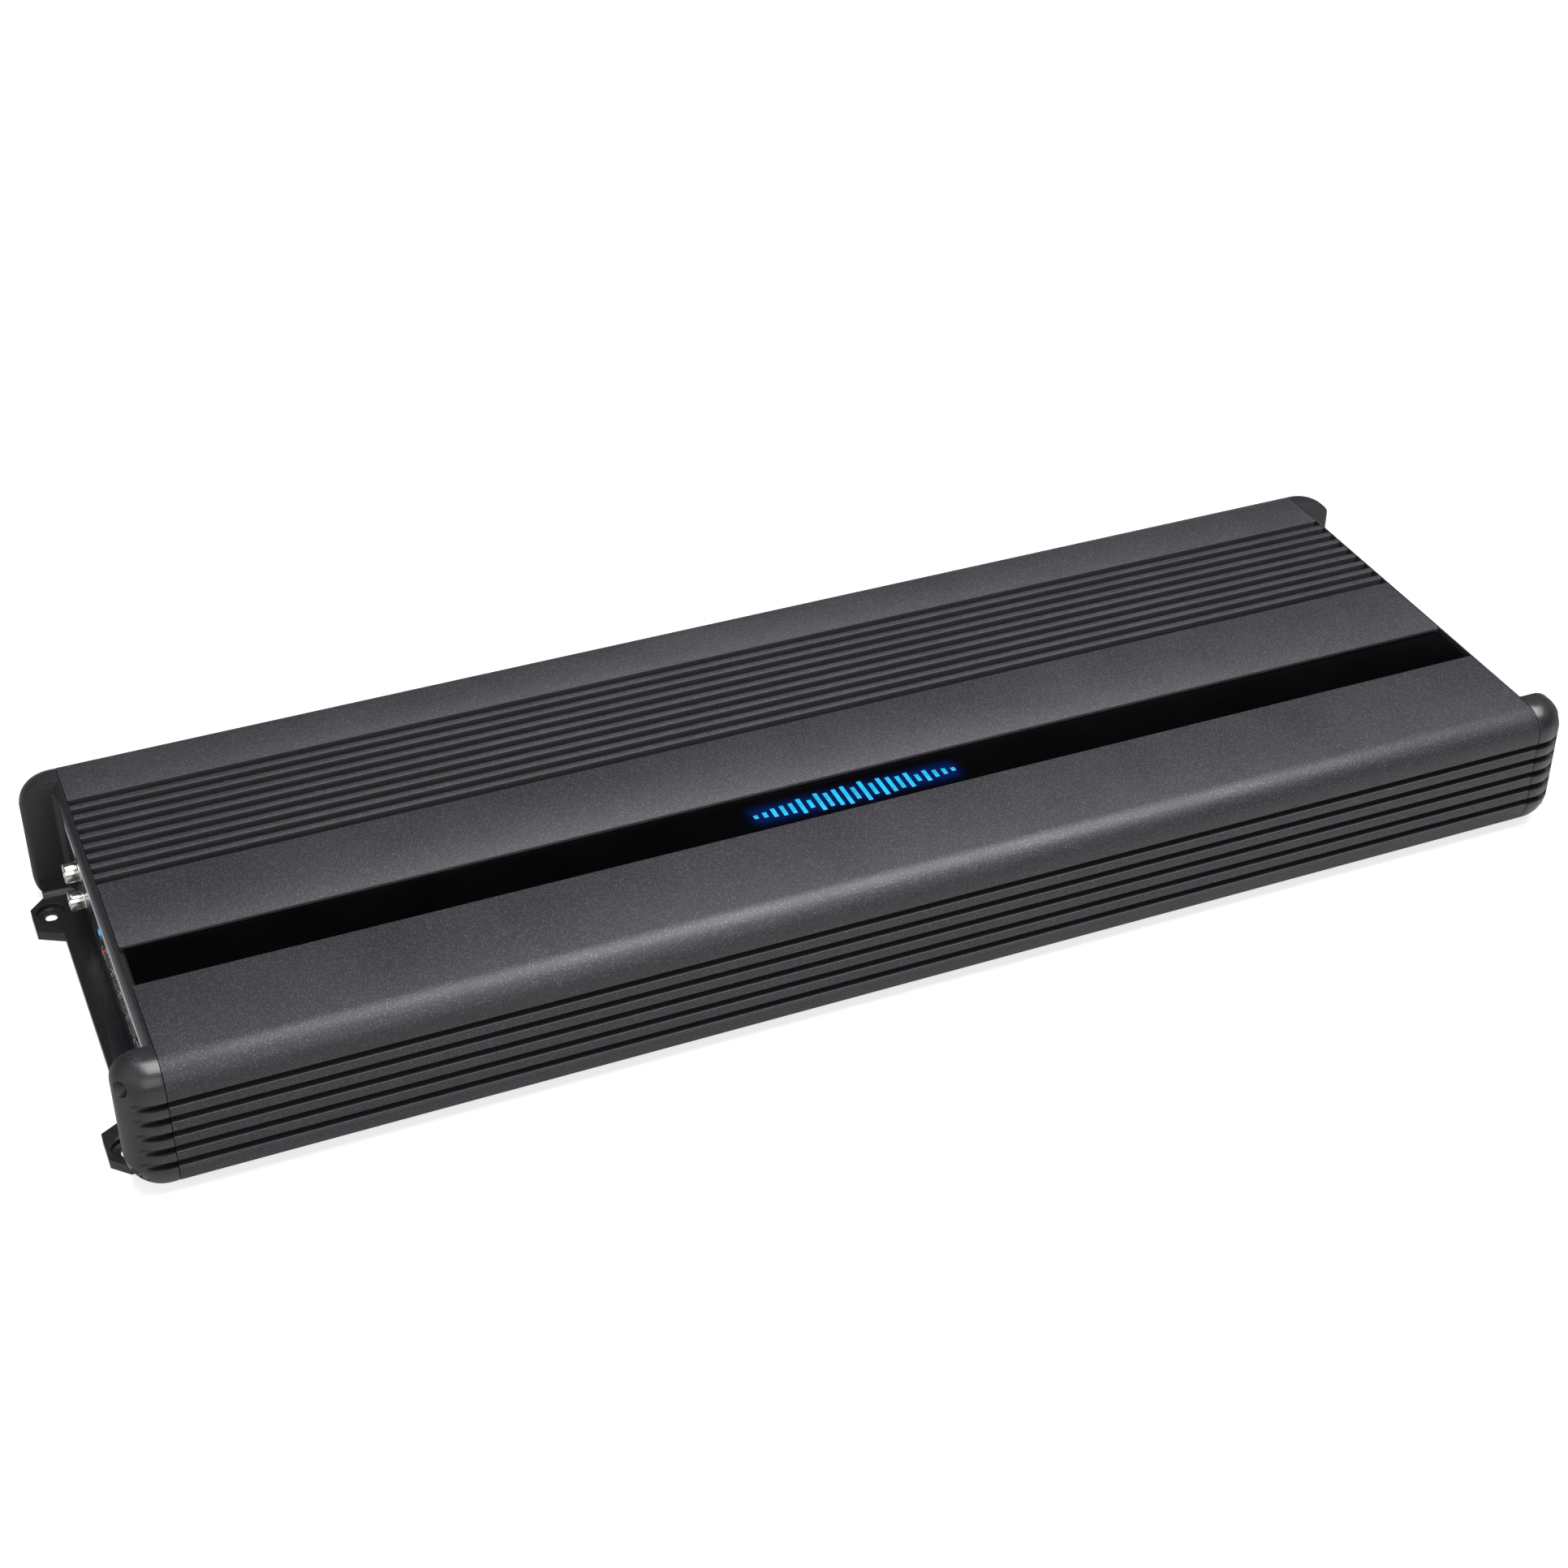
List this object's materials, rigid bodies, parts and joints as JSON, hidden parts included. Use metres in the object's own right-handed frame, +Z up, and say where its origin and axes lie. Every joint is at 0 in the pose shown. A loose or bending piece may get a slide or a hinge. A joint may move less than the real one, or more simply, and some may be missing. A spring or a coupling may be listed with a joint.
{
  "type": "car amplifier",
  "caption": "Long low car audio amplifier: finned dark metal housing with a glossy lit strip, cast end caps with slotted feet, phono jacks and controls at one end, wire terminals at the other.",
  "frame": {"origin": "centre of the footprint, on the plane the feet stand on", "axes": "+X along the housing towards the power and speaker terminals, +Y towards the finned rear side, +Z up"},
  "size_m": [0.6172, 0.2084, 0.058],
  "materials": {
    "charcoal_coat": "satin charcoal powder coat",
    "black_casting": "satin black paint",
    "cover_coat": "satin black paint",
    "panel_black": "satin",
    "window_black": "gloss",
    "light_guide": "clear, lit blue",
    "led_white": "clear",
    "wire_red": "satin",
    "cream_plastic": "matte",
    "board_green": "satin",
    "board_white": "satin",
    "brass": "satin",
    "zinc_steel": "satin",
    "black_steel": "satin",
    "bare_aluminium": "satin",
    "chip_black": "matte",
    "pad_grey": "matte",
    "core_green": "satin",
    "core_yellow": "satin",
    "copper": "enamelled",
    "can_blue": "gloss",
    "can_black": "gloss",
    "nickel": "bright",
    "white_plastic": "satin",
    "red_plastic": "satin",
    "knob_black": "satin",
    "slider_grey": "satin",
    "led_blue": "clear",
    "led_red": "clear"
  },
  "bodies": {
    "chassis": {"housing": "charcoal_coat", "bottom_cover": "cover_coat", "bottom_cover_screws": "black_steel", "left_end_cap": "black_casting", "right_end_cap": "black_casting", "left_cap_screws": "black_steel", "right_cap_screws": "black_steel", "input_panel": "panel_black", "terminal_panel": "panel_black", "window_strip": "window_black", "strip_light": "light_guide", "light_board": "board_white", "light_leds": "led_white", "light_lead": "wire_red", "light_plug": "cream_plastic", "main_board": "board_green", "board_standoffs": "brass", "board_screws": "zinc_steel", "front_transistors": "chip_black", "rear_transistors": "chip_black", "front_thermal_pad": "pad_grey", "rear_thermal_pad": "pad_grey", "front_clamp_bar": "bare_aluminium", "rear_clamp_bar": "bare_aluminium", "clamp_screws": "black_steel", "transformer_cores": "core_green", "transformer_windings": "copper", "inductor_cores": "core_yellow", "inductor_windings": "copper", "supply_capacitors": "can_blue", "rail_capacitors": "can_black", "driver_chips": "chip_black", "control_board": "board_green", "jack_block": "panel_black", "jack_barrels": "nickel", "left_jack_insulator": "white_plastic", "right_jack_insulator": "red_plastic", "jack_contacts": "nickel", "pot_bodies": "zinc_steel", "switch_bodies": "chip_black", "remote_jack": "panel_black", "power_led": "led_blue", "protect_led": "led_red", "power_terminal_block": "panel_black", "power_terminal_posts": "nickel", "speaker_terminal_block": "panel_black", "speaker_terminal_posts": "nickel"},
    "gain_knob": {"gain_knob": "knob_black"},
    "low_pass_knob": {"low_pass_knob": "knob_black"},
    "subsonic_knob": {"subsonic_knob": "knob_black"},
    "bass_boost_knob": {"bass_boost_knob": "knob_black"},
    "phase_slider": {"phase_slider": "slider_grey"},
    "mode_slider": {"mode_slider": "slider_grey"},
    "positive_set_screw": {"positive_set_screw": "zinc_steel"},
    "ground_set_screw": {"ground_set_screw": "zinc_steel"},
    "trigger_set_screw": {"trigger_set_screw": "zinc_steel"},
    "speaker_plus_set_screw": {"speaker_plus_set_screw": "zinc_steel"},
    "speaker_minus_set_screw": {"speaker_minus_set_screw": "zinc_steel"}
  },
  "joints": [
    {"name": "gain_turn", "type": "hinge", "parent": "chassis", "child": "gain_knob", "pos_m": [-0.287, 0.004, 0.0275], "axis": [-1, 0, 0], "range_deg": [-150, 150]},
    {"name": "low_pass_turn", "type": "hinge", "parent": "chassis", "child": "low_pass_knob", "pos_m": [-0.287, -0.01, 0.0275], "axis": [-1, 0, 0], "range_deg": [-150, 150]},
    {"name": "subsonic_turn", "type": "hinge", "parent": "chassis", "child": "subsonic_knob", "pos_m": [-0.287, -0.024, 0.0275], "axis": [-1, 0, 0], "range_deg": [-150, 150]},
    {"name": "bass_boost_turn", "type": "hinge", "parent": "chassis", "child": "bass_boost_knob", "pos_m": [-0.287, -0.038, 0.0275], "axis": [-1, 0, 0], "range_deg": [-150, 150]},
    {"name": "phase_slide", "type": "slide", "parent": "chassis", "child": "phase_slider", "axis": [0, 1, 0], "range_m": [0, 0.003]},
    {"name": "mode_slide", "type": "slide", "parent": "chassis", "child": "mode_slider", "axis": [0, 1, 0], "range_m": [0, 0.003]},
    {"name": "positive_clamping", "type": "slide", "parent": "chassis", "child": "positive_set_screw", "axis": [0, 0, 1], "range_m": [-0.008, 0.0025]},
    {"name": "ground_clamping", "type": "slide", "parent": "chassis", "child": "ground_set_screw", "axis": [0, 0, 1], "range_m": [-0.008, 0.0025]},
    {"name": "trigger_clamping", "type": "slide", "parent": "chassis", "child": "trigger_set_screw", "axis": [0, 0, 1], "range_m": [-0.003, 0.002]},
    {"name": "speaker_plus_clamping", "type": "slide", "parent": "chassis", "child": "speaker_plus_set_screw", "axis": [0, 0, 1], "range_m": [-0.005, 0.002]},
    {"name": "speaker_minus_clamping", "type": "slide", "parent": "chassis", "child": "speaker_minus_set_screw", "axis": [0, 0, 1], "range_m": [-0.005, 0.002]}
  ]
}
